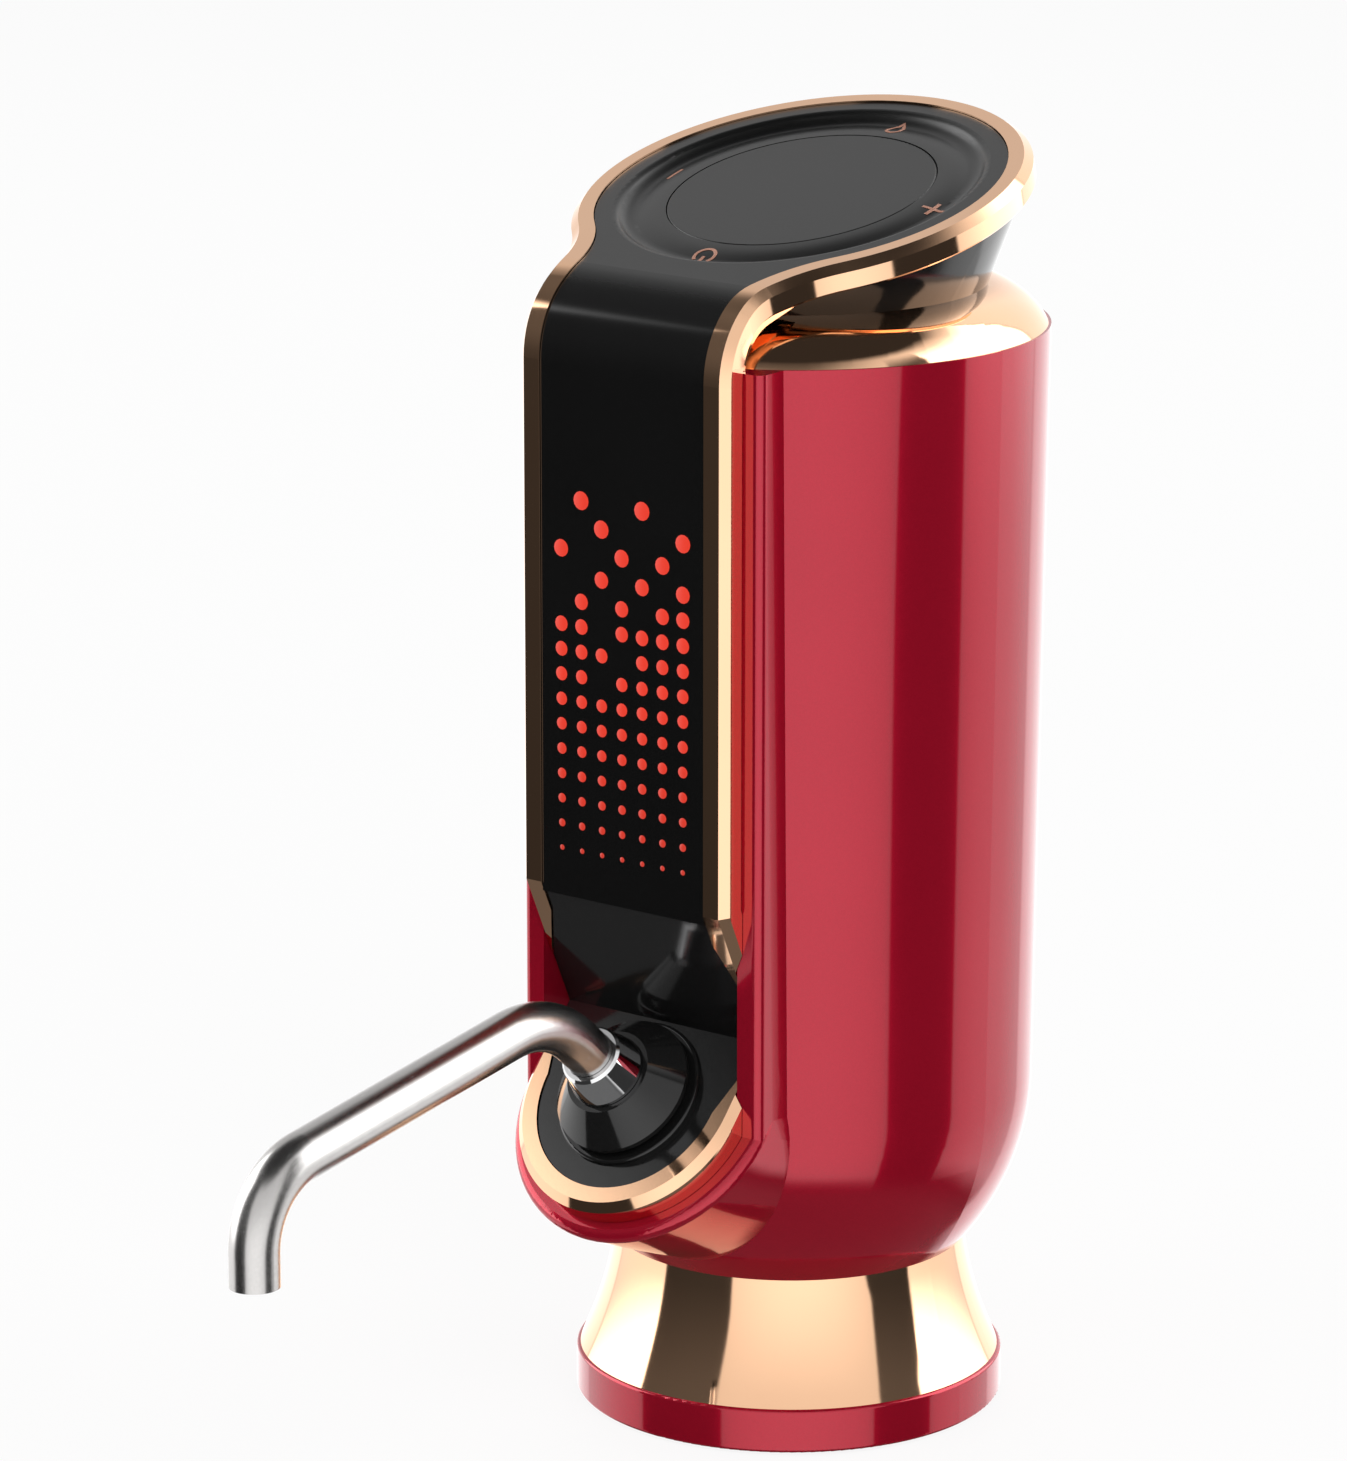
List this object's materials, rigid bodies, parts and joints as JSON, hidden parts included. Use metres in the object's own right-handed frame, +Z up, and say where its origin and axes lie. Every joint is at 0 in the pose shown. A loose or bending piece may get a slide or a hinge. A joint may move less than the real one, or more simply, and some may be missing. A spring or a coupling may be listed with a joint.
{
  "type": "wine preservation dispenser",
  "caption": "Cordless wine preserving dispenser: red cylinder with a black display strap, tilted touch head, bent steel spout on a swivel, bottle neck socket and a flared lift-off stand.",
  "frame": {"origin": "middle of the rubber pad's underside, on the table", "axes": "+Z up, -Y to the front where the spout points, +X to the right as seen from the front"},
  "size_m": [0.0786, 0.1685, 0.2012],
  "materials": {
    "rubber_black": "matt black rubber",
    "red_lacquer": "glossy deep red lacquer",
    "rose_gold": "mirror rose gold plating",
    "black_gloss": "glossy black",
    "black_glass": "glossy black, smoked",
    "steel_plate": "plain steel",
    "screw_steel": "zinc plated",
    "polished_steel": "polished stainless steel",
    "grey_plastic": "dark grey moulding",
    "food_plastic": "natural white moulding",
    "board_green": "green circuit board",
    "chip_black": "black components",
    "silicone_tube": "translucent silicone",
    "cell_wrap": "blue shrink wrap over a steel can",
    "motor_metal": "drawn steel can",
    "magnet_dark": "dark ferrite",
    "winding_copper": "enamelled copper windings on a laminated core"
  },
  "bodies": {
    "stand": {"foot_pad": "rubber_black", "foot_ring": "red_lacquer", "stand_floor": "grey_plastic", "stand_weight": "steel_plate", "stand_screws": "screw_steel", "stand_flare": "rose_gold", "seat_ring": "rubber_black", "drip_cup": "grey_plastic"},
    "dispenser": {"body_shell": "red_lacquer", "shoulder_ring": "rose_gold", "neck_cone": "black_gloss", "top_plate": "grey_plastic", "head_frame": "rose_gold", "fascia_lens": "black_glass", "touch_board": "board_green", "button_switch": "chip_black", "head_carrier": "grey_plastic", "head_screws": "screw_steel", "led_board": "board_green", "chin_bezel": "rose_gold", "chin_fascia": "black_gloss", "spout_mount": "black_gloss", "spout_nut": "grey_plastic", "feed_elbow": "food_plastic", "bottle_collar": "food_plastic", "bottle_gasket": "rubber_black", "collar_screws": "screw_steel", "manifold": "food_plastic", "feed_tube": "silicone_tube", "deck": "grey_plastic", "deck_screws": "screw_steel", "battery_cell": "cell_wrap", "battery_cradle": "grey_plastic", "main_board": "board_green", "board_parts": "chip_black", "charging_port": "steel_plate", "motor_can": "motor_metal", "motor_cap": "food_plastic", "motor_magnets": "magnet_dark", "pump_housing": "food_plastic", "pump_swing": "food_plastic", "pump_diaphragm": "rubber_black", "pump_valve_plate": "food_plastic", "pump_head": "food_plastic", "pump_screws": "screw_steel", "air_tube": "silicone_tube", "check_valve": "food_plastic", "drop_tube": "silicone_tube", "valve_yoke": "steel_plate", "valve_coil": "winding_copper", "valve_core": "steel_plate"},
    "collar": {"spout_collar": "polished_steel", "spout_seals": "rubber_black"},
    "spout": {"spout_tube": "polished_steel"},
    "rotor": {"motor_armature": "winding_copper", "motor_shaft": "steel_plate", "pump_eccentric": "food_plastic"},
    "plunger": {"valve_plunger": "steel_plate"},
    "button": {"centre_button": "black_glass"}
  },
  "joints": [
    {"name": "lift", "type": "slide", "parent": "stand", "child": "dispenser", "axis": [0, 0, 1], "range_m": [0, 0.12]},
    {"name": "spout_swivel", "type": "hinge", "parent": "dispenser", "child": "collar", "pos_m": [0, -0.04015, 0.05797], "axis": [0, -0.7475, 0.6643], "range_deg": [-60, 60]},
    {"name": "spout_pull", "type": "slide", "parent": "collar", "child": "spout", "axis": [0, -0.7475, 0.6643], "range_m": [0, 0.03]},
    {"name": "pump_spin", "type": "hinge", "parent": "dispenser", "child": "rotor", "pos_m": [0.014, 0.003, 0.07], "axis": [0, 0, 1], "continuous": true},
    {"name": "valve_travel", "type": "slide", "parent": "dispenser", "child": "plunger", "axis": [0, 0, -1], "range_m": [0, 0.0015], "stiffness_N_per_m": 200, "springref_m": -0.001},
    {"name": "button_press", "type": "slide", "parent": "dispenser", "child": "button", "axis": [0, 0.2588, -0.9659], "range_m": [0, 0.0008], "stiffness_N_per_m": 500, "springref_m": -0.001}
  ]
}
